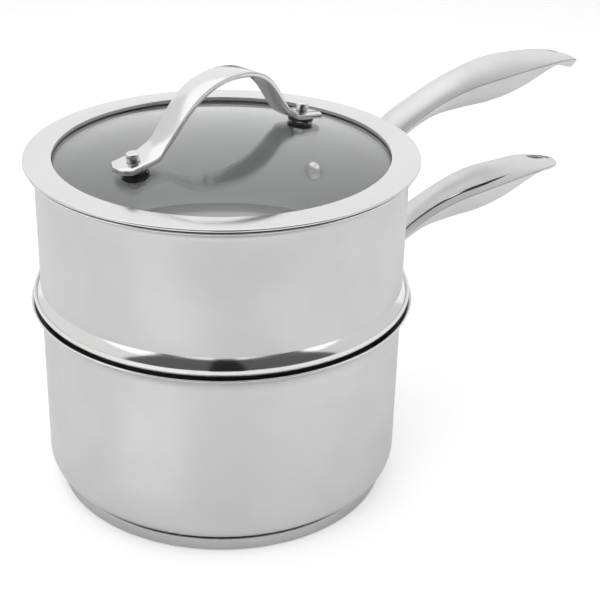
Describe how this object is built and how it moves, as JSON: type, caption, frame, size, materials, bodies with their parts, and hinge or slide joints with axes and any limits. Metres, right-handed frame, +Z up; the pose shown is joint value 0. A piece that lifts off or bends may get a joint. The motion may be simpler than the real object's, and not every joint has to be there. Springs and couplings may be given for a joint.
{
  "type": "saucepan with steamer insert",
  "caption": "Long-handled steel saucepan carrying a stacked long-handled steamer insert under a domed glass lid with a wide steel rim and an arched strap handle.",
  "frame": {"origin": "middle of the saucepan's base, on the surface it stands on", "axes": "+Z up along the vessel's axis, +X along both long handles"},
  "size_m": [0.4168, 0.2116, 0.2356],
  "materials": {
    "satin_steel": "satin stainless steel, turned grain round the vessel",
    "polished_steel": "bright polished stainless steel",
    "handle_steel": "fine matt stainless steel",
    "aluminium": "raw aluminium, sealed in the base",
    "dark_rubber": "matt black silicone rubber",
    "clear_glass": "clear tempered glass"
  },
  "bodies": {
    "saucepan": {"saucepan_body": "satin_steel", "base_core": "aluminium", "base_cap": "polished_steel", "saucepan_handle_top": "handle_steel", "saucepan_handle_bottom": "handle_steel", "saucepan_bracket": "handle_steel", "saucepan_rivet_left": "polished_steel", "saucepan_rivet_right": "polished_steel"},
    "insert": {"insert_body": "satin_steel", "insert_handle_top": "handle_steel", "insert_handle_bottom": "handle_steel", "insert_bracket": "handle_steel", "insert_rivet_left": "polished_steel", "insert_rivet_right": "polished_steel"},
    "lid": {"lid_glass": "clear_glass", "lid_rim": "polished_steel", "lid_seal": "dark_rubber", "lid_handle": "polished_steel", "lid_bolt_left": "polished_steel", "lid_bolt_right": "polished_steel", "lid_spacer_left": "dark_rubber", "lid_spacer_right": "dark_rubber", "lid_washer_left": "dark_rubber", "lid_washer_right": "dark_rubber", "lid_nut_left": "polished_steel", "lid_nut_right": "polished_steel"}
  },
  "joints": [
    {"name": "insert_lift", "type": "slide", "parent": "saucepan", "child": "insert", "axis": [0, 0, 1], "range_m": [0, 0.12]},
    {"name": "lid_lift", "type": "slide", "parent": "insert", "child": "lid", "axis": [0, 0, 1], "range_m": [0, 0.1]}
  ]
}
